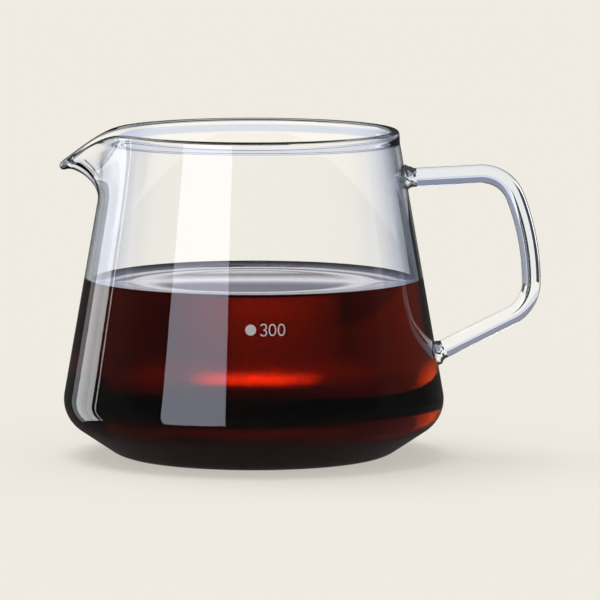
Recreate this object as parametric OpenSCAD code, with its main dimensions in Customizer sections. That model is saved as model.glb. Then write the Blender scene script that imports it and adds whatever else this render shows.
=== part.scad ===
// Blown glass coffee server: a conical vessel on a low round belly, a lip pulled
// out of the rim on the -X side and a bent glass rod fused on as a handle on the
// +X side. The origin is the centre of the base, with +Z up.

/* [Vessel] */
// Height from the table to the top of the rim
body_h = 92.5; // [84:0.5:115]
// Outer diameter over the bead of the rim
rim_d = 82.4; // [72:0.2:92]
// Greatest outer diameter, low on the belly
belly_d = 107.8; // [102:0.2:124]
// Diameter of the flat that the vessel stands on
foot_d = 69.2; // [60:0.2:78]
// Outer radius of the turn between the wall and the underside
belly_turn_r = 10; // [7:0.5:13]
// Outer radius of the turn between the underside and the flat
foot_turn_r = 10.8; // [7:0.2:14]
// Slope of the underside above the table, in degrees
underside_slope = 33.7; // [28:0.1:40]
// Thickness of the glass
wall_t = 1.8; // [1.2:0.1:2.4]
// Thickness of the fire-polished bead around the rim
bead_d = 2.4; // [2.4:0.1:3.4]
// Diameter of the shallow hollow under the base
punt_d = 56; // [40:1:58]
// Depth of that hollow
punt_h = 0.6; // [0.3:0.1:0.9]

/* [Pouring lip] */
// Distance that the tip stands out beyond the rim
lip_reach = 13.8; // [8:0.2:18]
// Distance from the top of the rim down to the top of the tip
lip_drop = 8.9; // [5:0.1:12]
// Distance below the rim at which the lip starts to leave the wall
lip_depth = 20; // [17:0.5:26]
// Width of the lip where it still has about a third of its reach
lip_w = 17.8; // [14:0.2:26]
// Width of the dip in the rim where it still has about a third of its drop
dip_w = 14.6; // [12:0.2:22]
// Angle by which the tip turns down at its end, in degrees
tip_fall = 8; // [0:1:15]

/* [Handle] */
// Diameter of the glass rod
rod_d = 5.3; // [4:0.1:7]
// Distance from the vessel's axis to the outside of the grip
handle_reach = 81.3; // [76:0.5:95]
// Distance from the top of the rim down to the middle of the upper joint
upper_joint_drop = 13.6; // [10:0.2:20]
// Rise of the upper arm towards the grip, in degrees
upper_arm_rise = 3; // [0:0.5:8]
// Radius of the upper bend, along the middle of the rod
upper_bend_r = 10.2; // [8:0.2:13]
// Angle from upright at which the grip leaves the upper bend, in degrees
grip_angle = 21.5; // [12:0.5:24]
// Radius of the long curve of the grip, along the middle of the rod
grip_r = 66.5; // [55:0.5:80]
// Radius of the lower bend, along the middle of the rod
lower_bend_r = 10.8; // [8:0.2:13]
// Slope of the lower arm down to the belly, in degrees
lower_arm_slope = 26.5; // [20:0.5:34]

/* [Fused collars] */
// Length of the upper collar along the rod
upper_collar_l = 3; // [2:0.1:5]
// Width that the upper collar adds all round the rod at the wall
upper_collar_flare = 1; // [0.4:0.1:1.6]
// Length of the lower collar along the rod
lower_collar_l = 2.6; // [2:0.1:5]
// Width that the lower collar adds all round the rod at the wall
lower_collar_flare = 0.8; // [0.4:0.1:1.6]

/* [Coffee] */
// Height of the coffee's surface above the table
coffee_h = 49.5; // [30:0.5:70]
// Gap between the coffee and the wall of the vessel
coffee_gap = 0.15; // [0.12:0.01:0.3]

/* [Hidden] */
$fn = 96;
envelope_sides = 288;
cut_over = 1;

// Counts of the vessel's faces: around it, and along its outline from foot to rim
body_sides = 88;
foot_steps = 4;
belly_steps = 7;
lip_steps = 10;
bead_steps = 7;
// Counts of the rod's faces: around it, and along each of its bends
rod_sides = 24;
bend_steps = 8;
// Degrees by which the faces crowd towards the lip, where the shape changes most
crowding = 30;
// How far the two ends of the lip's curve keep their direction, as shares of its rise and run
lip_hold_shares = [0.5, 0.45];
// Power in the fading of the lip to both sides: 2 is a round bell, and less is more pointed
lip_power = 1.7;

// Outline of the vessel as [radius, height]: the centres of its two turns, and the bead's
foot_c = [foot_d / 2, foot_turn_r];
foot_to_belly = belly_d / 2 - belly_turn_r - foot_c.x;
belly_lift = (sin(underside_slope) * foot_to_belly + belly_turn_r - foot_turn_r) / cos(underside_slope);
belly_c = [foot_c.x + foot_to_belly, foot_c.y + belly_lift];
bead_c = [(rim_d - bead_d) / 2, body_h - bead_d / 2];

// Lean of the wall: the straight line from the bead that just touches the belly's turn
belly_to_bead = bead_c - belly_c;
wall_turn = acos((belly_turn_r - wall_t / 2) / norm(belly_to_bead));
wall_lean = atan2(belly_to_bead.y, belly_to_bead.x) - wall_turn;
wall_rise = 1 / tan(wall_lean);
wall_dir = [-sin(wall_lean), cos(wall_lean)];

// The lip leaves the middle of the wall at lip_start and ends in a bead at lip_end
lip_start = [bead_c.x + (lip_depth - bead_d / 2) / wall_rise, body_h - lip_depth];
lip_end = [rim_d / 2 + lip_reach - bead_d / 2, bead_c.y - lip_drop];
lip_run = lip_end - lip_start;
tip_dir = [cos(tip_fall), -sin(tip_fall)];
lip_hold_up = lip_hold_shares[0] * lip_run.y * wall_dir;
lip_hold_out = lip_hold_shares[1] * lip_run.x * tip_dir;
lip_curve = [lip_start, lip_start + lip_hold_up, lip_end - lip_hold_out, lip_end];
half_angles = [asin(lip_w / rim_d), asin(dip_w / rim_d)];

// Centre line of the rod in the plane of the handle, from the upper joint round to the lower
upper_joint_h = body_h - upper_joint_drop;
upper_joint = [wall_radius(upper_joint_h), upper_joint_h];
grip_turn = [upper_arm_rise, grip_angle - 90, -90, lower_arm_slope - 180];
bends_run = bend_step(upper_bend_r, grip_turn[0], grip_turn[1]).x
    + bend_step(grip_r, grip_turn[1], grip_turn[2]).x;
upper_arm_l = (handle_reach - rod_d / 2 - upper_joint.x - bends_run) / cos(upper_arm_rise);
upper_bend_at = upper_joint + upper_arm_l * direction(grip_turn[0]);
grip_at = upper_bend_at + bend_step(upper_bend_r, grip_turn[0], grip_turn[1]);
lower_bend_at = grip_at + bend_step(grip_r, grip_turn[1], grip_turn[2]);
lower_arm_at = lower_bend_at + bend_step(lower_bend_r, grip_turn[2], grip_turn[3]);
lower_arm_dir = direction(grip_turn[3]);
lower_gap = lower_arm_at.x - wall_radius(lower_arm_at.y);
lower_arm_l = -lower_gap / (lower_arm_dir.x + lower_arm_dir.y / wall_rise);
lower_joint = lower_arm_at + lower_arm_l * lower_arm_dir;

function direction(angle) = [cos(angle), sin(angle)];
function mix(a, b, share) = a + share * (b - a);

// Outer radius of the straight wall at a height
function wall_radius(h) = bead_c.x + wall_t / 2 / cos(wall_lean) + (bead_c.y - h) / wall_rise;

// Step that a clockwise bend makes between two headings
function bend_step(r, start, end) = r * [sin(start) - sin(end), cos(end) - cos(start)];

// A point of the lip's middle line, and the direction of the line there
function lip_point(t) = pow(1 - t, 3) * lip_curve[0] + 3 * t * pow(1 - t, 2) * lip_curve[1]
    + 3 * t * t * (1 - t) * lip_curve[2] + pow(t, 3) * lip_curve[3];
function lip_slope(t) = pow(1 - t, 2) * (lip_curve[1] - lip_curve[0])
    + 2 * t * (1 - t) * (lip_curve[2] - lip_curve[1]) + t * t * (lip_curve[3] - lip_curve[2]);
function lip_dir(t) = lip_slope(t) / norm(lip_slope(t));
function outward(dir) = [dir.y, -dir.x];

// Outline points come in pairs: where the plain wall has them, and where the lip has them
function pair(p) = [p, p];
function turn_rings(centre, r, start, end, steps) =
    [for (i = [0:steps]) pair(centre + r * direction(start + (end - start) * i / steps))];
function low_rings(inset) = concat(
    turn_rings(foot_c, foot_turn_r - inset, -90, underside_slope - 90, foot_steps),
    turn_rings(belly_c, belly_turn_r - inset, underside_slope - 90, wall_lean, belly_steps));
function lip_ring(t, offset) = [
    mix(lip_start, bead_c, t) + offset * outward(wall_dir),
    lip_point(t) + offset * outward(lip_dir(t))];
function lip_rings(offset) = [for (i = [0:lip_steps - 1]) lip_ring(i / lip_steps, offset)];

// The bead bulges past both faces of the wall and closes over the top
bead_from = -acos(wall_t / bead_d);
function bead_point(centre, dir, angle) =
    centre + bead_d / 2 * (cos(angle) * outward(dir) + sin(angle) * dir);
function bead_ring(angle) = [bead_point(bead_c, wall_dir, angle), bead_point(lip_end, tip_dir, angle)];
bead_rings = [for (i = [0:bead_steps]) bead_ring(mix(bead_from, 180 - bead_from, i / bead_steps))];

function backwards(list) = [for (i = [len(list) - 1:-1:0]) list[i]];
rings = concat(
    low_rings(0), lip_rings(wall_t / 2), bead_rings,
    backwards(lip_rings(-wall_t / 2)), backwards(low_rings(wall_t)));

// Angle of each column of faces from the middle of the lip, and how far the lip pulls it out and down
function column_angle(i) = 360 * i / body_sides - crowding * sin(360 * i / body_sides);
function from_lip(angle) = angle > 180 ? angle - 360 : angle;
function pull(angle, half_angle) = exp(-pow(abs(from_lip(angle)) / half_angle, lip_power));
function column_point(ring, angle) =
    let (r = mix(ring[0].x, ring[1].x, pull(angle, half_angles[0])))
    [-r * cos(angle), -r * sin(angle), mix(ring[0].y, ring[1].y, pull(angle, half_angles[1]))];
body_points = [for (ring = rings, i = [0:body_sides - 1]) column_point(ring, column_angle(i))];

// Rings of the rod along its centre line, each a centre and a heading
function bend_rings(from, r, start, end) =
    [for (i = [1:bend_steps]) let (heading = mix(start, end, i / bend_steps))
        [from + bend_step(r, start, heading), heading]];
rod_rings = concat(
    [[upper_joint + upper_collar_l * direction(grip_turn[0]), grip_turn[0]]],
    [[upper_bend_at, grip_turn[0]]],
    bend_rings(upper_bend_at, upper_bend_r, grip_turn[0], grip_turn[1]),
    bend_rings(grip_at, grip_r, grip_turn[1], grip_turn[2]),
    bend_rings(lower_bend_at, lower_bend_r, grip_turn[2], grip_turn[3]),
    [[lower_joint - lower_collar_l * lower_arm_dir, grip_turn[3]]]);
function rod_point(ring, angle) =
    let (across = ring[0] + rod_d / 2 * cos(angle) * direction(ring[1] + 90))
    [across.x, -rod_d / 2 * sin(angle), across.y];
rod_points = [for (ring = rod_rings, i = [0:rod_sides - 1]) rod_point(ring, 360 * i / rod_sides)];

// Faces of a closed skin over rings of points: the first end, the sides and the last end
function at(ring, i, sides) = ring * sides + i % sides;
function skin_side(k, i, sides) =
    [at(k, i, sides), at(k + 1, i, sides), at(k + 1, i + 1, sides), at(k, i + 1, sides)];
function skin_faces(ring_count, sides) = concat(
    [[for (i = [0:sides - 1]) at(0, i, sides)]],
    [for (k = [0:ring_count - 2], i = [0:sides - 1]) skin_side(k, i, sides)],
    [[for (i = [sides - 1:-1:0]) at(ring_count - 1, i, sides)]]);

// Half outline of the vessel up to a height, set in from its outer face
module outline(inset, top) {
    belly_end = belly_c + (belly_turn_r - inset) * direction(wall_lean);
    under_dir = direction(underside_slope - 90);
    intersection() {
        union() {
            translate(foot_c) circle(foot_turn_r - inset);
            translate(belly_c) circle(belly_turn_r - inset);
            polygon([
                [0, inset],
                [foot_c.x, inset],
                foot_c + (foot_turn_r - inset) * under_dir,
                belly_c + (belly_turn_r - inset) * under_dir,
                belly_end,
                [belly_end.x - (top - belly_end.y) / wall_rise, top],
                [0, top]]);
        }
        square([belly_d, top]);
    }
}

module vessel_envelope() {
    rotate_extrude($fn = envelope_sides) outline(0, bead_c.y);
}

// The flared end of the rod, fused to the wall at a joint
module collar(joint, heading, l, flare) {
    fillet_r = (flare * flare + l * l) / (2 * flare);
    difference() {
        translate([joint.x, 0, joint.y])
            rotate([0, 90 - heading, 0])
                rotate_extrude()
                    difference() {
                        translate([0, -rod_d / 2]) square([rod_d / 2 + 2 * flare, l + rod_d / 2]);
                        translate([rod_d / 2 + fillet_r, l]) circle(fillet_r);
                    }
        vessel_envelope();
    }
}

module glass_body() {
    color([0.80, 0.87, 0.88, 0.4])
        difference() {
            polyhedron(body_points, skin_faces(len(rings), body_sides), convexity = 6);
            translate([0, 0, -cut_over])
                cylinder(h = punt_h + cut_over, d = punt_d);
        }
}

module handle() {
    color([0.70, 0.80, 0.82])
        polyhedron(rod_points, skin_faces(len(rod_rings), rod_sides), convexity = 4);
}

module upper_weld() {
    color([0.55, 0.68, 0.70])
        collar(upper_joint, grip_turn[0], upper_collar_l, upper_collar_flare);
}

module lower_weld() {
    color([0.55, 0.68, 0.70])
        collar(lower_joint, grip_turn[3] + 180, lower_collar_l, lower_collar_flare);
}

module coffee() {
    color([0.28, 0.07, 0.03])
        rotate_extrude() outline(wall_t + coffee_gap, coffee_h);
}

glass_body();
handle();
upper_weld();
lower_weld();
coffee();
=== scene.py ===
import math
import bpy
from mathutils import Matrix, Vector


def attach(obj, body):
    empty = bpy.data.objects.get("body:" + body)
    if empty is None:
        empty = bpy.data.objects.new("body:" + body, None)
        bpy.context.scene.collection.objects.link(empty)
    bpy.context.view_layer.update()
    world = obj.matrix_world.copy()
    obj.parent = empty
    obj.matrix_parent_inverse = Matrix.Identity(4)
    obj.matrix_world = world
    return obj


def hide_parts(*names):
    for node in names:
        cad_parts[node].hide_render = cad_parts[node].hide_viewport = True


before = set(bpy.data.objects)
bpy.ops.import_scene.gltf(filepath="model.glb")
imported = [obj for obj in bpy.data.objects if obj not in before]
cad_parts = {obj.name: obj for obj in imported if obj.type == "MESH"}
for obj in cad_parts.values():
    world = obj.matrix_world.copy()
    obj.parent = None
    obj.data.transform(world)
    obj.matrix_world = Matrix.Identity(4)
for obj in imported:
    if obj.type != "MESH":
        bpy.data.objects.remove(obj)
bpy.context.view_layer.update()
print("frame loaded:", sorted(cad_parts))

# the vessel's sizes are in mm, distances in the studio and depths of bumps in metres, angles in degrees
mm = 0.001
bpy.context.scene.view_settings.view_transform = "Standard"


# a step of length one in a direction
def heading(angle):
    return Vector((math.cos(math.radians(angle)), math.sin(math.radians(angle))))


def blend(a, b, share):
    return a + (b - a) * share


def spread(start, end, count):
    return [blend(start, end, i / count) for i in range(count + 1)]


# from 0 to 1 with a soft start and a soft end
def ease(share):
    share = min(1, max(0, share))
    return share * share * (3 - 2 * share)


def addObject(name, data):
    made = bpy.data.objects.new(name, data)
    bpy.context.scene.collection.objects.link(made)
    return made


# points are in mm, or in metres where unit is 1
def addMesh(name, points, faces, unit=mm):
    mesh = bpy.data.meshes.new(name)
    mesh.from_pydata([Vector(p) * unit for p in points], [], faces)
    mesh.update()
    return addObject(name, mesh)


# rings with equally many points, joined into one smooth skin: capFirst and capLast are points that
# close its ends, and faceSlot gives the material slot of the faces between ring k and the next
def skinRings(name, rings, capFirst=None, capLast=None, faceSlot=lambda k: 0):
    sides = len(rings[0])
    points = [p for ring in rings for p in ring]
    faces = []
    slots = []
    for k in range(len(rings) - 1):
        for i in range(sides):
            j = (i + 1) % sides
            faces.append((k * sides + i, k * sides + j, (k + 1) * sides + j, (k + 1) * sides + i))
            slots.append(faceSlot(k))
    for cap, k in ((capFirst, 0), (capLast, len(rings) - 1)):
        if cap is None:
            continue
        points.append(cap)
        for i in range(sides):
            a, b = k * sides + i, k * sides + (i + 1) % sides
            faces.append((b, a, len(points) - 1) if k == 0 else (a, b, len(points) - 1))
            slots.append(faceSlot(min(k, len(rings) - 2)))
    piece = addMesh(name, points, faces)
    piece.data.polygons.foreach_set("material_index", slots)
    piece.data.polygons.foreach_set("use_smooth", [True] * len(faces))
    piece.data.update()
    return piece


# the piece is shown in place of a node of the part, which is hidden
def standFor(piece, node):
    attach(piece, "root")
    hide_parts(node)


def fillRamp(ramp, stops):
    while len(ramp) < len(stops):
        ramp.new(0.5)  # anywhere: its place is set below
    for stop, (place, colour) in zip(ramp, stops):
        stop.position = place
        stop.color = (*colour, 1)


class Wire:
    # one output of a node in a tree; wires and numbers take + - and *
    def __init__(self, tree, socket=None):
        self.tree = tree
        self.socket = socket

    # any node: its type, its settings, then values or wires of its sockets by name or by _number
    def node(self, kind, settings=None, **sockets):
        made = self.tree.nodes.new(kind)
        for key, value in (settings or {}).items():
            if key == "stops":
                fillRamp(made.color_ramp.elements, value)
            else:
                setattr(made, key, value)
        for key, value in sockets.items():
            target = made.inputs[int(key[1:])] if key[0] == "_" else made.inputs[key.replace("_", " ")]
            if isinstance(value, Wire):
                self.tree.links.new(value.socket, target)
            elif isinstance(value, (tuple, list)) and len(value) == 3 and len(target.default_value) == 4:
                target.default_value = (*value, 1)
            else:
                target.default_value = value
        return {out.name: Wire(self.tree, out) for out in made.outputs if out.enabled}

    def combine(self, operation, first, second):
        return self.node("ShaderNodeMath", {"operation": operation}, _0=first, _1=second)["Value"]

    def __add__(self, other):
        return self.combine("ADD", self, other)

    def __radd__(self, other):
        return self.combine("ADD", other, self)

    def __sub__(self, other):
        return self.combine("SUBTRACT", self, other)

    def __rsub__(self, other):
        return self.combine("SUBTRACT", other, self)

    def __mul__(self, other):
        return self.combine("MULTIPLY", self, other)

    def __rmul__(self, other):
        return self.combine("MULTIPLY", other, self)

    def larger(self, other):
        return self.combine("MAXIMUM", self, other)

    # where this wire is 0 the first colour shows, and where it is 1 the second
    def choose(self, first, second):
        return self.node("ShaderNodeMix", {"data_type": "RGBA"}, _0=self, _6=first, _7=second)["Result"]

    def tintedBy(self, colour):
        settings = {"data_type": "RGBA", "blend_type": "MULTIPLY"}
        return self.node("ShaderNodeMix", settings, _0=1.0, _6=self, _7=colour)["Result"]


# the empty node tree of a material, a world or a light
def emptyTree(owner):
    owner.use_nodes = True
    owner.node_tree.nodes.clear()
    return Wire(owner.node_tree)


# low and far, straight in front of the vessel; the shifts place the vessel in the picture
cameraSet = {
    "distance": 2.268,
    "elevation": 6.2,
    "lookHeight": 0.04536,
    "focal": 480,
    "sensor": 36,
    "shiftX": 0.0770,
    "shiftY": -0.0075,
    "clipNear": 0.1,
    "clipFar": 60,
}


def makeCamera():
    data = bpy.data.cameras.new("camera")
    data.lens = cameraSet["focal"]
    data.sensor_width = cameraSet["sensor"]
    data.shift_x = cameraSet["shiftX"]
    data.shift_y = cameraSet["shiftY"]
    data.clip_start = cameraSet["clipNear"]
    data.clip_end = cameraSet["clipFar"]
    camera = addObject("camera", data)
    tilt = math.radians(cameraSet["elevation"])
    camera.location = (
        0,
        -cameraSet["distance"] * math.cos(tilt),
        cameraSet["lookHeight"] + cameraSet["distance"] * math.sin(tilt),
    )
    camera.rotation_euler = (math.pi / 2 - tilt, 0, 0)
    bpy.context.scene.camera = camera


makeCamera()
print("camera placed")


# the vessel's outline, as in the part's source
vessel = {
    "height": 92.5,
    "rimWidth": 82.4,
    "bellyWidth": 107.8,
    "footWidth": 69.2,
    "bellyTurn": 10.0,
    "footTurn": 10.8,
    "undersideSlope": 33.7,
    "wall": 1.8,
    "bead": 2.4,
    "beadBlend": 3.2,
    "puntWidth": 56.0,
    "puntDepth": 0.6,
    "puntShoulder": 8,
    # radius of the first ring underneath, and of the rings on the floor inside
    "puntRadius": 8,
    "floorRadii": (4, 12, 20, 28),
    # rings along each stretch of the outline
    "puntRings": 12,
    "footRings": 14,
    "bellyRings": 26,
    "wallRings": 16,
    "beadRings": 28,
    # rings of the bead where the painted shade on its top begins and ends
    "beadShadeFrom": 3,
    "beadShadeTo": 24,
    # points of a ring, and the degrees by which they crowd towards the lip
    "columns": 384,
    "crowding": 26,
}
# the lip is pulled out of the rim, and the wall follows it from this depth below the rim upwards
lip = {
    "reach": 13.8,
    "drop": 8.9,
    "depth": 20.0,
    "width": 17.8,
    "dipWidth": 14.6,
    "tipFall": 8.0,
    # how long its curve keeps the wall's direction and the tip's, as shares of its height and length
    "holdUp": 0.5,
    "holdOut": 0.45,
    # a higher power makes its sides steeper
    "power": 1.7,
    "rings": 16,
    # share of the way up where the rings get closer, and how many there are from there on
    "closerFrom": 0.8,
    "closeRings": 14,
}

footCentre = Vector((vessel["footWidth"] / 2, vessel["footTurn"]))
footToBelly = vessel["bellyWidth"] / 2 - vessel["bellyTurn"] - footCentre.x
slope = vessel["undersideSlope"]
bellyLift = (heading(slope).y * footToBelly + vessel["bellyTurn"] - vessel["footTurn"]) / heading(slope).x
bellyCentre = footCentre + Vector((footToBelly, bellyLift))
beadCentre = Vector(((vessel["rimWidth"] - vessel["bead"]) / 2, vessel["height"] - vessel["bead"] / 2))
bellyToBead = beadCentre - bellyCentre
wallLean = math.degrees(
    math.atan2(bellyToBead.y, bellyToBead.x)
    - math.acos((vessel["bellyTurn"] - vessel["wall"] / 2) / bellyToBead.length)
)
wallRise = 1 / math.tan(math.radians(wallLean))
wallDir = heading(wallLean + 90)
lipStart = Vector((
    beadCentre.x + (lip["depth"] - vessel["bead"] / 2) / wallRise,
    vessel["height"] - lip["depth"],
))
lipEnd = Vector((vessel["rimWidth"] / 2 + lip["reach"] - vessel["bead"] / 2, beadCentre.y - lip["drop"]))
tipDir = heading(-lip["tipFall"])
lipCurve = [
    lipStart,
    lipStart + wallDir * (lip["holdUp"] * (lipEnd - lipStart).y),
    lipEnd - tipDir * (lip["holdOut"] * (lipEnd - lipStart).x),
    lipEnd,
]
# how far round the rim the pull outwards and the dip reach
pulledAngle, dippedAngle = [
    math.degrees(math.asin(lip[key] / vessel["rimWidth"])) for key in ("width", "dipWidth")
]


def outward(direction):
    return Vector((direction.y, -direction.x))


# outer radius of the straight wall at a height
def wallRadius(height):
    return beadCentre.x + vessel["wall"] / 2 / heading(wallLean).x + (beadCentre.y - height) / wallRise


# a point of the lip's middle line, and its direction there
def lipPoint(t):
    a, b, c, d = lipCurve
    point = a * (1 - t) ** 3 + b * (3 * t * (1 - t) ** 2) + c * (3 * t * t * (1 - t)) + d * t**3
    along = (b - a) * (1 - t) ** 2 + (c - b) * (2 * t * (1 - t)) + (d - c) * (t * t)
    return point, along.normalized()


def turn(centre, radius, start, end, count):
    return [centre + heading(angle) * radius for angle in spread(start, end, count)]


# the hollow under the base, from near its middle out to where the vessel stands
def hollowPoints():
    inner = vessel["puntWidth"] / 2 - vessel["puntShoulder"]
    points = [Vector((vessel["puntRadius"], vessel["puntDepth"]))]
    for share in spread(0, 1, vessel["puntRings"])[1:]:
        fall = 1 - ease(share)
        points.append(Vector((inner + vessel["puntShoulder"] * share, vessel["puntDepth"] * fall)))
    return points


# foot and belly, set in from the outer face
def lowPoints(inset):
    foot = turn(footCentre, vessel["footTurn"] - inset, -90, slope - 90, vessel["footRings"])
    belly = turn(bellyCentre, vessel["bellyTurn"] - inset, slope - 90, wallLean, vessel["bellyRings"])
    return foot + belly


# points of the straight wall between belly and lip at some heights, set in from the outer face
def wallPoints(inset, heights):
    shift = inset / heading(wallLean).x
    return [Vector((wallRadius(h) - shift, h)) for h in heights]


# a pair holds a ring's point away from the lip, and its point in the middle of the lip
def roundPairs(points):
    return [(p, p) for p in points]


# the wall from the lip's start up to the bead, which it swells into; side is 1 outside, -1 inside
def lipPairs(side):
    pairs = []
    far = spread(0, lip["closerFrom"], lip["rings"])
    near = spread(lip["closerFrom"], 1, lip["closeRings"])[1:-1]
    for t in far + near:
        point, along = lipPoint(t)
        swell = ease(1 - (1 - t) * (beadCentre - lipStart).length / vessel["beadBlend"])
        offset = side * blend(vessel["wall"], vessel["bead"], swell) / 2
        away = blend(lipStart, beadCentre, t) + outward(wallDir) * offset
        pairs.append((away, point + outward(along) * offset))
    return pairs


def beadPairs():
    pairs = []
    for angle in spread(0, 180, vessel["beadRings"]):
        side, top = heading(angle)
        pairs.append(tuple(
            centre + (outward(along) * side + along * top) * (vessel["bead"] / 2)
            for centre, along in ((beadCentre, wallDir), (lipEnd, tipDir))
        ))
    return pairs


def columnAngle(i):
    a = 2 * math.pi * i / vessel["columns"]
    return a - math.radians(vessel["crowding"]) * math.sin(a)


# how far the lip pulls a column, from 0 to 1
def pull(angle, halfAngle):
    away = abs(math.remainder(angle, 2 * math.pi))
    return math.exp(-((math.degrees(away) / halfAngle) ** lip["power"]))


def ringOf(pair):
    ring = []
    for i in range(vessel["columns"]):
        a = columnAngle(i)
        r = blend(pair[0].x, pair[1].x, pull(a, pulledAngle))
        z = blend(pair[0].y, pair[1].y, pull(a, dippedAngle))
        ring.append((-r * math.cos(a), -r * math.sin(a), z))
    return ring


# it comes before the glass, which looks different where the coffee touches it
coffee = {
    "level": 49.5,
    # how far the coffee climbs the wall, and how far from the wall that fades
    "meniscus": 1.0,
    "meniscusReach": 1.8,
    "intoWall": 0.05,
    "sides": 256,
    "wallRings": 8,
    "floorRadii": (4, 16, 26),
    # distances of the top's rings from the wall
    "topRings": (
        0, 0.05, 0.12, 0.2, 0.3, 0.42, 0.56, 0.72, 0.9, 1.15, 1.45, 1.8, 2.2, 2.8, 3.6, 4.6,
        6, 8, 12, 20, 30, 40,
    ),
    "refraction": 1.33,
    "ripple": 0.06,
    "rippleScale": 14.0,
    "rippleDepth": 0.0005,
    # share of the light that the top lets in
    "intoTop": (0.012, 0.008, 0.008),
    "colour": (0.70, 0.453, 0.068),
    "density": 150.0,
}
contactHeight = coffee["level"] + coffee["meniscus"]


glass = {
    "refraction": 1.47,
    "waveScale": 9.0,
    "waveDetail": 2.0,
    "waveRoughness": 0.45,
    "waveDepth": 0.002,
    # tint of the glass from face on to edge on: clear face on, darkening to painted edge shade edge on
    "wallEdgeShade": [
        (0.0, (1.0, 1.0, 1.0)),
        (0.25, (0.985, 0.99, 1.0)),
        (0.4, (0.88, 0.90, 0.98)),
        (0.5, (0.74, 0.78, 0.90)),
        (0.6, (0.54, 0.59, 0.72)),
        (0.7, (0.33, 0.38, 0.48)),
        (0.85, (0.17, 0.20, 0.26)),
    ],
    # the rod's bluish tint face on, darkening to painted edge shade edge on
    "rodTintAndEdgeShade": [
        (0.0, (0.86, 0.905, 1.0)),
        (0.3, (0.83, 0.875, 0.985)),
        (0.5, (0.68, 0.725, 0.83)),
        (0.7, (0.36, 0.39, 0.47)),
        (0.86, (0.10, 0.115, 0.15)),
    ],
    "clear": (1.0, 1.0, 1.0),
    # grey of the bead's top: painted shade for the rim's dark outline
    "paintedShade": (0.30, 0.305, 0.32),
    # share of the painted edge shade that is left in front of the coffee, and how far past its edge that
    # fades
    "edgeShadeWhereWet": 0.35,
    "wetFade": 1.0,
    # how strong the waves in the glass are, and how much closer they lie along each axis
    "wallWaves": 0.05,
    "wallStretch": (1.0, 1.0, 0.35),
    "rodWaves": 0.08,
    "rodStretch": (2.0, 2.0, 2.0),
    "fusedWaves": 0.5,
    "fusedStretch": (14.0, 14.0, 14.0),
}


def glassMaterial(name, edgeShades, waves, stretch, refraction=glass["refraction"], paintedShade=glass["clear"]):
    material = bpy.data.materials.new(name)
    start = emptyTree(material)
    place = start.node("ShaderNodeTexCoord")["Object"]
    stretched = start.node("ShaderNodeMapping", Vector=place, Scale=stretch)["Vector"]
    slow = start.node(
        "ShaderNodeTexNoise",
        Vector=stretched,
        Scale=glass["waveScale"],
        Detail=glass["waveDetail"],
        Roughness=glass["waveRoughness"],
    )["Fac"]
    bump = start.node("ShaderNodeBump", Strength=waves, Distance=glass["waveDepth"], Height=slow)["Normal"]
    # painted edge shade: the glass is tinted darker the more edge on it is seen, and less in front of the
    # coffee
    facing = start.node("ShaderNodeLayerWeight")["Facing"]
    edgeShade = start.node("ShaderNodeValToRGB", {"stops": edgeShades}, Fac=facing)["Color"]
    share = start.node(
        "ShaderNodeMapRange",
        Value=start.node("ShaderNodeSeparateXYZ", Vector=place)["Z"],
        From_Min=(coffee["level"] - glass["wetFade"]) * mm,
        From_Max=(contactHeight + glass["wetFade"]) * mm,
        To_Min=glass["edgeShadeWhereWet"],
        To_Max=1.0,
    )["Result"]
    shader = start.node(
        "ShaderNodeBsdfPrincipled",
        {"distribution": "MULTI_GGX"},
        Base_Color=share.choose(glass["clear"], edgeShade).tintedBy(paintedShade),
        Roughness=0.0,
        IOR=refraction,
        Transmission_Weight=1.0,
        Normal=bump,
    )["BSDF"]
    start.node("ShaderNodeOutputMaterial", Surface=shader)
    return material


againstCoffee = glass["refraction"] / coffee["refraction"]
clearGlass = glassMaterial("clearGlass", glass["wallEdgeShade"], glass["wallWaves"], glass["wallStretch"])
wettedGlass = glassMaterial("wettedGlass", glass["wallEdgeShade"], 0.0, glass["wallStretch"], againstCoffee)
# the rim bead: painted edge shade, and a grey that is painted shade for its dark outline
rimGlass = glassMaterial("rimGlass", glass["rodTintAndEdgeShade"], 0.0, glass["wallStretch"], paintedShade=glass["paintedShade"])
rodGlass = glassMaterial("rodGlass", glass["rodTintAndEdgeShade"], glass["rodWaves"], glass["rodStretch"])
fusedGlass = glassMaterial("fusedGlass", glass["rodTintAndEdgeShade"], glass["fusedWaves"], glass["fusedStretch"])


# from the middle underneath, up outside and over the bead, then down inside to the middle
def makeBody():
    low, lowInner = lowPoints(0), lowPoints(vessel["wall"])
    levels = spread(low[-1].y, lipStart.y, vessel["wallRings"])[1:-1]
    innerLevels = sorted(spread(lowInner[-1].y, lipStart.y, vessel["wallRings"])[1:-1] + [contactHeight])
    floorInside = [Vector((r, vessel["wall"])) for r in vessel["floorRadii"]]
    outer = roundPairs(hollowPoints() + low + wallPoints(0, levels)) + lipPairs(1)
    inner = roundPairs(floorInside + lowInner + wallPoints(vessel["wall"], innerLevels)) + lipPairs(-1)
    pairs = outer + beadPairs() + inner[::-1]
    wetFrom = len(pairs) - len(floorInside + lowInner) - innerLevels.index(contactHeight) - 1
    # rings of the bead's top, which get the rim glass with its painted shade
    shadedBeadRings = range(len(outer) + vessel["beadShadeFrom"], len(outer) + vessel["beadShadeTo"])
    body = skinRings(
        "glassBody",
        [ringOf(pair) for pair in pairs],
        (0, 0, vessel["puntDepth"]),
        (0, 0, vessel["wall"]),
        lambda k: 1 if k >= wetFrom else 2 if k in shadedBeadRings else 0,
    )
    for material in (clearGlass, wettedGlass, rimGlass):
        body.data.materials.append(material)
    standFor(body, "glass_body")
    return body


glassBody = makeBody()
print("vessel made:", len(glassBody.data.polygons), "faces")


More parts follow.
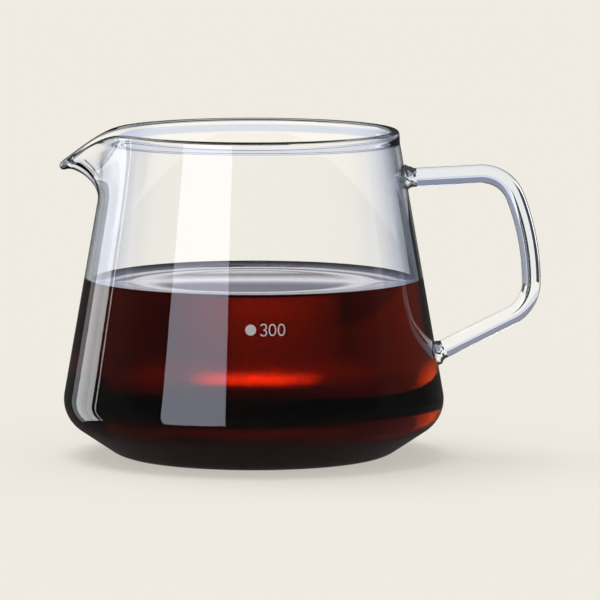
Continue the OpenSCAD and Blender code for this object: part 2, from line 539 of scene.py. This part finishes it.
# the bent rod of the handle, and the collars where its ends are fused to the wall; reach is from the
# vessel's axis to the outside of the grip
rod = {
    "thickness": 5.3,
    "reach": 81.3,
    "upperDrop": 13.6,
    "upperRise": 3.0,
    "upperBend": 10.2,
    "gripAngle": 21.5,
    "gripRadius": 66.5,
    "lowerBend": 10.8,
    "lowerSlope": 26.5,
    "sides": 64,
    "armRings": 40,
    "bendStep": 0.5,
    # no ring comes closer to the rod's ends than this
    "endGap": 0.2,
}
weld = {
    "upperLength": 3.0,
    "upperFlare": 1.0,
    "lowerLength": 2.6,
    "lowerFlare": 0.8,
    "intoWall": 0.9,
    "rings": 22,
    # waves round the collar: their number, height, turn in radians for each mm, and start
    "waves": [(3, 0.10, 1.7, 0), (5, 0.06, -2.9, 1)],
    "waveShare": 0.6,
    # they fade out over this much towards the rod
    "waveFade": 1.2,
}


def bendMove(radius, start, end):
    s, e = math.radians(start), math.radians(end)
    return Vector((math.sin(s) - math.sin(e), math.cos(e) - math.cos(s))) * radius


# points of the rod's middle line, each with the direction there, from the upper end to the lower
def rodPath():
    jointHeight = vessel["height"] - rod["upperDrop"]
    joint = Vector((wallRadius(jointHeight), jointHeight))
    headings = [rod["upperRise"], rod["gripAngle"] - 90, -90, rod["lowerSlope"] - 180]
    bends = list(zip((rod["upperBend"], rod["gripRadius"], rod["lowerBend"]), headings, headings[1:]))
    run = sum(bendMove(*bend).x for bend in bends[:2])
    armLength = (rod["reach"] - rod["thickness"] / 2 - joint.x - run) / heading(headings[0]).x
    place = joint + heading(headings[0]) * armLength
    arm = spread(0, armLength, rod["armRings"])
    path = [(joint + heading(headings[0]) * d, headings[0]) for d in arm]
    for radius, start, end in bends:
        count = int(radius * math.radians(start - end) / rod["bendStep"])
        path += [(place + bendMove(radius, start, angle), angle) for angle in spread(start, end, count)[1:]]
        place = path[-1][0]
    away = heading(headings[3])
    lowerLength = -(place.x - wallRadius(place.y)) / (away.x + away.y / wallRise)
    path += [(place + away * d, headings[3]) for d in spread(0, lowerLength, rod["armRings"])[1:]]
    return path


centreLine = rodPath()
(upperEnd, upperAngle), (lowerEnd, lowerAngle) = centreLine[0], centreLine[-1]
lengths = [0]
for (a, _), (b, _) in zip(centreLine, centreLine[1:]):
    lengths.append(lengths[-1] + (b - a).length)


def rodRing(centre, angle, radius):
    across = heading(angle + 90)
    ring = []
    for i in range(rod["sides"]):
        t = 2 * math.pi * i / rod["sides"]
        p = centre + across * (radius * math.cos(t))
        ring.append((p.x, -radius * math.sin(t), p.y))
    return ring


# the rod from one collar to the other
def makeHandle():
    radius = rod["thickness"] / 2
    nearest = weld["upperLength"] + rod["endGap"]
    farthest = lengths[-1] - weld["lowerLength"] - rod["endGap"]
    rings = [rodRing(upperEnd + heading(upperAngle) * weld["upperLength"], upperAngle, radius)]
    for (point, angle), along in zip(centreLine, lengths):
        if nearest < along < farthest:
            rings.append(rodRing(point, angle, radius))
    rings.append(rodRing(lowerEnd - heading(lowerAngle) * weld["lowerLength"], lowerAngle, radius))
    handle = skinRings("handleRod", rings)
    handle.data.materials.append(rodGlass)
    standFor(handle, "handle")


# how far a collar bulges at an angle round it and a distance from the wall, as a share of its radius
def bulge(t, along, length):
    waves = sum(height * math.sin(number * t + along * twist + start)
                for number, height, twist, start in weld["waves"])
    fade = min(1, (length - along) / weld["waveFade"])
    return waves * fade * weld["waveShare"]


# a collar at a joint, where angle points from the wall into the rod
def makeWeld(name, node, joint, angle, length, flare):
    fillet = (flare * flare + length * length) / (2 * flare)
    rings = []
    for along in spread(length, -weld["intoWall"], weld["rings"]):
        left = length - max(along, 0)
        radius = rod["thickness"] / 2 + fillet - math.sqrt(max(fillet**2 - left**2, 0))
        centre = joint + heading(angle) * along
        middle = Vector((centre.x, 0, centre.y))
        ring = []
        for i, point in enumerate(rodRing(centre, angle, radius)):
            t = 2 * math.pi * i / rod["sides"]
            ring.append(tuple(middle + (Vector(point) - middle) * (1 + bulge(t, along, length))))
        rings.append(ring)
    deep = joint - heading(angle) * weld["intoWall"]
    piece = skinRings(name, rings, None, (deep.x, 0, deep.y))
    piece.data.materials.append(fusedGlass)
    standFor(piece, node)


makeHandle()
makeWeld("upperWeld", "upper_weld", upperEnd, upperAngle, weld["upperLength"], weld["upperFlare"])
makeWeld("lowerWeld", "lower_weld", lowerEnd, lowerAngle + 180, weld["lowerLength"], weld["lowerFlare"])
print("handle made:", round(lengths[-1], 1), "mm of rod")


def coffeeMaterial(name, refraction, ripple, entering):
    material = bpy.data.materials.new(name)
    start = emptyTree(material)
    place = start.node("ShaderNodeTexCoord")["Object"]
    noise = start.node("ShaderNodeTexNoise", Vector=place, Scale=coffee["rippleScale"], Detail=0.0)["Fac"]
    bump = start.node("ShaderNodeBump", Strength=ripple, Distance=coffee["rippleDepth"], Height=noise)
    shader = start.node(
        "ShaderNodeBsdfPrincipled",
        Base_Color=entering,
        Roughness=0.0,
        IOR=refraction,
        Transmission_Weight=1.0,
        Normal=bump["Normal"],
    )["BSDF"]
    absorbing = start.node("ShaderNodeVolumeAbsorption", Color=coffee["colour"], Density=coffee["density"])
    start.node("ShaderNodeOutputMaterial", Surface=shader, Volume=absorbing["Volume"])
    return material


def coffeeRing(point):
    angles = [2 * math.pi * i / coffee["sides"] for i in range(coffee["sides"])]
    return [(-point.x * math.cos(a), -point.x * math.sin(a), point.y) for a in angles]


# from the middle of the floor, up along the wall and back to the middle of the top
def makeCoffee():
    inset = vessel["wall"] - coffee["intoWall"]
    floor = [Vector((r, inset)) for r in coffee["floorRadii"]]
    low = lowPoints(inset)
    levels = spread(low[-1].y, contactHeight, coffee["wallRings"])[1:-1]
    side = floor + low + wallPoints(inset, levels)
    edge = wallPoints(inset, [contactHeight])[0]
    top = []
    for away in coffee["topRings"]:
        climb = coffee["meniscus"] * math.exp(-away / coffee["meniscusReach"])
        top.append(Vector((edge.x - away, coffee["level"] + climb)))
    piece = skinRings(
        "coffeeFill",
        [coffeeRing(p) for p in side + top],
        (0, 0, inset),
        (0, 0, coffee["level"]),
        lambda k: 1 if k >= len(side) else 0,
    )
    # the wetted glass bends the light on its way in, so the coffee's side doesn't bend it again
    sideMaterial = coffeeMaterial("coffeeAgainstGlass", 1.0, 0.0, (1.0, 1.0, 1.0))
    topMaterial = coffeeMaterial("coffeeSurface", coffee["refraction"], coffee["ripple"], coffee["intoTop"])
    piece.data.materials.append(sideMaterial)
    piece.data.materials.append(topMaterial)
    standFor(piece, "coffee")


makeCoffee()
print("coffee poured")


# the printed capacity line: a dot and a plain number on the front of the wall
mark = {
    "height": 41.1,
    "dotAcross": -0.85,
    "dotWidth": 3.0,
    "dotSides": 48,
    "digitHeight": 3.5,
    "digitWidth": 2.1,
    "stroke": 0.35,
    "firstDigit": 1.8,
    "digitStep": 2.52,
    "zeros": 2,
    "zeroPoints": 40,
    # how much lower a 0 is than an oval that is as full at its shoulders
    "zeroFlat": 0.06,
    # the 3 is two bowls, the upper one narrower, and each is open from this angle on
    "bowlSteps": 20,
    "upperBowl": 0.92,
    "bowlEnd": 155,
    "lift": 0.03,
    "ink": (0.58, 0.56, 0.60),
    "grainScale": 2500.0,
    "grainDetail": 2.0,
    "smoothest": 0.35,
    "grain": 0.2,
}


def inkMaterial():
    material = bpy.data.materials.new("printedInk")
    start = emptyTree(material)
    place = start.node("ShaderNodeTexCoord")["Object"]
    grain = start.node(
        "ShaderNodeTexNoise", Vector=place, Scale=mark["grainScale"], Detail=mark["grainDetail"]
    )["Fac"]
    shader = start.node(
        "ShaderNodeBsdfPrincipled",
        Base_Color=mark["ink"],
        Roughness=grain * mark["grain"] + mark["smoothest"],
    )["BSDF"]
    start.node("ShaderNodeOutputMaterial", Surface=shader)
    return material


# a point of the flat artwork, in mm across and up, laid on the wall
def onWall(across, height):
    radius = wallRadius(height) + mark["lift"]
    angle = across / radius
    return (radius * math.sin(angle), -radius * math.cos(angle), height)


def addDot(points, faces, centre, width, sides):
    base = len(points)
    rim = [centre + heading(360 * i / sides) * (width / 2) for i in range(sides)]
    points += [onWall(*p) for p in rim] + [onWall(*centre)]
    faces += [(base + i, base + (i + 1) % sides, base + sides) for i in range(sides)]


def addStroke(points, faces, line, closed):
    half = mark["stroke"] / 2
    base = len(points)
    count = len(line)
    for i, here in enumerate(line):
        before = line[(i - 1) % count] if closed or i else here
        after = line[(i + 1) % count] if closed or i < count - 1 else here
        along = (after - before).normalized()
        side = Vector((-along.y, along.x)) * half
        points += [onWall(*(here + side)), onWall(*(here - side))]
    for i in range(count if closed else count - 1):
        a, b = base + 2 * i, base + 2 * ((i + 1) % count)
        faces.append((a, b, b + 1, a + 1))


def zeroLine(middle, wide, high):
    line = []
    for t in spread(0, 2 * math.pi, mark["zeroPoints"])[:-1]:
        full = 1 - mark["zeroFlat"] * math.cos(2 * t) ** 2
        line.append(middle + Vector((wide * math.cos(t), high * math.sin(t) * full)))
    return line


# a bowl of the 3, with its middle a little above or below the digit's
def bowlLine(middle, wide, high, lift, start, end):
    angles = spread(start, end, mark["bowlSteps"])
    return [middle + Vector((wide * heading(a).x, lift + high * heading(a).y)) for a in angles]


def makeMark():
    points, faces = [], []
    centre = Vector((mark["dotAcross"], mark["height"]))
    addDot(points, faces, centre, mark["dotWidth"], mark["dotSides"])
    wide = (mark["digitWidth"] - mark["stroke"]) / 2
    high = (mark["digitHeight"] - mark["stroke"]) / 2
    small = high / 2
    three, *zeros = [
        Vector((mark["firstDigit"] + wide + i * mark["digitStep"], mark["height"]))
        for i in range(1 + mark["zeros"])
    ]
    upper = bowlLine(three, wide * mark["upperBowl"], small, small, mark["bowlEnd"], -90)
    lower = bowlLine(three, wide, small, -small, 90, -mark["bowlEnd"])
    addStroke(points, faces, upper, False)
    addStroke(points, faces, lower, False)
    for middle in zeros:
        addStroke(points, faces, zeroLine(middle, wide, high), True)
    piece = addMesh("capacityMark", points, faces)
    piece.data.materials.append(inkMaterial())
    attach(piece, "root")


makeMark()
print("capacity line printed")


stage = {
    "paper": (0.863, 0.831, 0.760),
    "paperThroughGlass": (0.98, 0.947, 0.86),
    "paperGlow": 0.55,
    "floorRadius": 9.0,
    "floorSides": 96,
    "skyColour": (1.0, 0.965, 0.95),
    "skyForLight": 0.47,
    "skyInReflections": 0.06,
    # what the glass shows of the room behind: the ramp starts at this sine of the height above the
    # horizon and ends 1 / backdropStretch higher
    "backdropFrom": 0.1,
    "backdropStretch": 25,
    "backdrop": [
        (0.0, (0.76, 0.78, 0.85)),
        (0.106, (1.1, 1.07, 1.1)),
        (0.1144, (0.42, 0.41, 0.43)),
        (0.1216, (1.4, 1.36, 1.42)),
        (0.1288, (1.2, 1.17, 1.2)),
        (0.1365, (0.42, 0.41, 0.43)),
        (0.1432, (0.85, 0.82, 0.86)),
        (0.1576, (1.6, 1.57, 1.64)),
        (0.165, (0.8, 0.79, 0.85)),
        (0.173, (0.44, 0.46, 0.55)),
        (0.181, (0.38, 0.40, 0.48)),
        (0.205, (0.6, 0.55, 0.6)),
        (0.225, (0.4, 0.40, 0.44)),
        (0.26, (1.3, 1.28, 1.34)),
        (0.5, (1.2, 1.18, 1.24)),
        (0.75, (0.5, 0.51, 0.57)),
        (1.0, (0.30, 0.31, 0.36)),
    ],
    "keyStrength": 1.78,
    "keyColour": (1.0, 1.025, 1.035),
    "keyAngle": 45,
    "keyTilt": 18,
    "keyTurn": -135,
    "softboxDistance": 1.5,
    "cardLift": 0.0005,
}


# paper that glows a little where it is seen, so that the shadow on it stays light
def paperMaterial():
    material = bpy.data.materials.new("paperFloor")
    start = emptyTree(material)
    path = start.node("ShaderNodeLightPath")
    through = path["Is Transmission Ray"]
    seen = path["Is Camera Ray"].larger(through)
    glow = through.choose(stage["paper"], stage["paperThroughGlass"])
    paper = start.node("ShaderNodeBsdfDiffuse", Color=stage["paper"])["BSDF"]
    bright = start.node("ShaderNodeEmission", Color=glow)["Emission"]
    share = (seen * stage["paperGlow"]).larger(through)
    mixed = start.node("ShaderNodeMixShader", _0=share, _1=paper, _2=bright)["Shader"]
    start.node("ShaderNodeOutputMaterial", Surface=mixed)
    return material


def makeFloor():
    sides = range(stage["floorSides"])
    rim = [heading(360 * i / len(sides)) * stage["floorRadius"] for i in sides]
    floor = addMesh("floor", [(p.x, p.y, 0) for p in rim], [tuple(sides)], unit=1)
    floor.data.materials.append(paperMaterial())
    floor.visible_glossy = False


# paper for the camera, a backdrop through the glass, a dim sky in reflections and a soft one for light
def makeWorld():
    world = bpy.data.worlds.new("studio")
    bpy.context.scene.world = world
    start = emptyTree(world)
    path = start.node("ShaderNodeLightPath")
    place = start.node("ShaderNodeTexCoord")["Generated"]
    up = start.node("ShaderNodeSeparateXYZ", Vector=place)["Z"]
    camera = path["Is Camera Ray"]
    through = path["Is Transmission Ray"]
    mirrored = path["Is Glossy Ray"] * (1 - through)
    height = (up - stage["backdropFrom"]) * stage["backdropStretch"]
    behind = start.node("ShaderNodeValToRGB", {"stops": stage["backdrop"]}, Fac=height)["Color"]
    colour = camera.choose(through.choose(stage["skyColour"], behind), stage["paper"])
    seen = camera.larger(through)
    level = seen + mirrored * stage["skyInReflections"] + (1 - seen) * (1 - mirrored) * stage["skyForLight"]
    light = start.node("ShaderNodeBackground", Color=colour, Strength=level)["Background"]
    start.node("ShaderNodeOutputWorld", Surface=light)


def makeSun():
    data = bpy.data.lights.new("softKey", "SUN")
    data.energy = stage["keyStrength"]
    data.color = stage["keyColour"]
    data.angle = math.radians(stage["keyAngle"])
    key = addObject("softKey", data)
    key.rotation_euler = (math.radians(stage["keyTilt"]), 0, math.radians(stage["keyTurn"]))
    key.visible_glossy = False


# directions as seen from the vessel: 0 is towards the camera, -90 to the left, 180 behind
def towards(around, up):
    a, b = math.radians(around), math.radians(up)
    return Vector((math.sin(a) * math.cos(b), -math.cos(a) * math.cos(b), math.sin(b)))


# fade gives a panel's brightness from one edge to the other along its height
def fadePanel(data, fade):
    start = emptyTree(data)
    across = start.node("ShaderNodeNewGeometry")["Parametric"]
    along = start.node("ShaderNodeSeparateXYZ", Vector=across)["Y"]
    stops = [(t, (v, v, v)) for t, v in fade]
    share = start.node("ShaderNodeValToRGB", {"stops": stops}, Fac=along)["Color"]
    light = start.node("ShaderNodeEmission", Color=share, Strength=1.0)["Emission"]
    start.node("ShaderNodeOutputLight", Surface=light)


# a panel that shows in the glass alone, mirrored in it or through it: it shines from a direction in a
# beam of so many degrees, and level is its brightness
def makePanel(name, place, shinesFrom, width, height, level, colour, beam=180, fade=None, through=False):
    half = math.radians(beam / 2)
    narrow = 1 if beam >= 180 else (math.tan(half) - half) / math.tan(half)
    data = bpy.data.lights.new(name, "AREA")
    data.shape = "RECTANGLE"
    data.size = width
    data.size_y = height
    data.color = colour
    data.spread = 2 * half
    data.energy = level * math.pi * width * height * narrow
    if fade:
        fadePanel(data, fade)
    panel = addObject(name, data)
    panel.location = place
    panel.rotation_euler = (-towards(*shinesFrom)).to_track_quat("-Z", "Y").to_euler()
    panel.visible_camera = False
    panel.visible_diffuse = False
    panel.visible_glossy = not through
    panel.visible_transmission = through


# a tall softbox that spans the angles from start to end around the vessel
def makeSoftbox(name, start, end, lowest, highest, level, colour):
    distance = stage["softboxDistance"]
    middle = (start + end) / 2
    width = 2 * distance * math.tan(math.radians(abs(end - start) / 2))
    place = towards(middle, 0) * distance + Vector((0, 0, (lowest + highest) / 2))
    makePanel(name, place, (middle, 0), width, highest - lowest, level, colour)


# a card that stands on the floor from one point to another and shows through the glass alone
def makeCard(name, a, b, height, colour):
    low = stage["cardLift"]
    card = addMesh(name, [(*a, low), (*b, low), (*b, height), (*a, height)], [(0, 1, 2, 3)], unit=1)
    material = bpy.data.materials.new(name + "Paper")
    start = emptyTree(material)
    flat = start.node("ShaderNodeEmission", Color=colour)["Emission"]
    start.node("ShaderNodeOutputMaterial", Surface=flat)
    card.data.materials.append(material)
    card.visible_camera = False
    card.visible_diffuse = False
    card.visible_glossy = False
    card.visible_shadow = False


# name, start and end angle, lowest and highest point, brightness, colour
softboxes = [
    ("middleSoftbox", -57, -17, -0.62, 0.75, 4.2, (0.93, 0.95, 1.12)),
    ("leftSoftbox", -134.5, -114, -0.6, 0.6, 3.25, (0.97, 0.98, 1.0)),
    ("leftOuter", -143, -134.5, -0.6, 0.6, 0.6, (0.97, 0.98, 1.0)),
    ("leftInner", -120, -114, -0.6, 0.6, 0.9, (0.97, 0.98, 1.0)),
    ("leftLine", -110.5, -109.5, -0.6, 0.6, 4.5, (1, 1, 1)),
]

# small panels behind the vessel, which show through the glass and the coffee
rearLights = {
    "rearGlow": {
        "place": (0, 0.062, 0.0132),
        "shinesFrom": (180.3, -6),
        "width": 0.06,
        "height": 0.0058,
        "level": 112,
        "colour": (1.0, 0.92, 0.7),
        "beam": 21,
        "fade": [
            (0.0, 0.0),
            (0.1, 0.05),
            (0.17, 0.2),
            (0.23, 0.5),
            (0.33, 1.0),
            (0.48, 0.97),
            (0.6, 0.42),
            (0.76, 0.1),
            (1.0, 0.0),
        ],
    },
    "rearGlowWide": {
        "place": (0, 0.0625, 0.0112),
        "shinesFrom": (180, -6),
        "width": 0.06,
        "height": 0.0136,
        "level": 7,
        "colour": (1.0, 0.9, 0.7),
        "beam": 48,
        "fade": [(0.0, 0.18), (0.35, 0.18), (0.48, 0.3), (0.57, 0.9), (0.68, 1.0), (0.82, 0.5), (1.0, 0.1)],
    },
    "rearRed": {
        "place": (0, 0.064, 0.0235),
        "shinesFrom": (180.5, -11.5),
        "width": 0.06,
        "height": 0.0216,
        "level": 13.2,
        "colour": (1.0, 0.9, 0.75),
        "beam": 31,
        "fade": [(0.0, 0.44), (0.45, 0.6), (0.85, 1.0), (0.97, 0.9), (1.0, 0.5)],
    },
    "rearRight": {
        "place": (0, 0.075, 0.019),
        "shinesFrom": (-137, -2),
        "width": 0.04,
        "height": 0.034,
        "level": 2.0,
        "colour": (1.0, 0.9, 0.8),
        "beam": 84,
    },
    "rearAmber": {
        "place": (-0.0136, 0.0727, 0.015),
        "shinesFrom": (-127, 3.5),
        "width": 0.028,
        "height": 0.028,
        "level": 20.0,
        "colour": (1.0, 0.93, 0.68),
        "beam": 36,
    },
}

# name, where it starts and ends on the floor, height, colour
cards = [
    ("cardRight", (0.088, 0.236), (0.152, 0.226), 0.06, (0.02, 0.022, 0.026)),
    ("cardNear", (0.160, 0.140), (0.190, 0.060), 0.03, (0.05, 0.052, 0.06)),
    ("cardFarRight", (0.20, 0.33), (0.42, 0.06), 0.22, (0.35, 0.37, 0.41)),
    ("cardLeft", (0.016, 0.172), (-0.060, 0.150), 0.030, (0.02, 0.024, 0.03)),
]

makeFloor()
makeWorld()
makeSun()
for softbox in softboxes:
    makeSoftbox(*softbox)
for name, light in rearLights.items():
    makePanel(name, through=True, **light)
for card in cards:
    makeCard(*card)
print("stage lit")
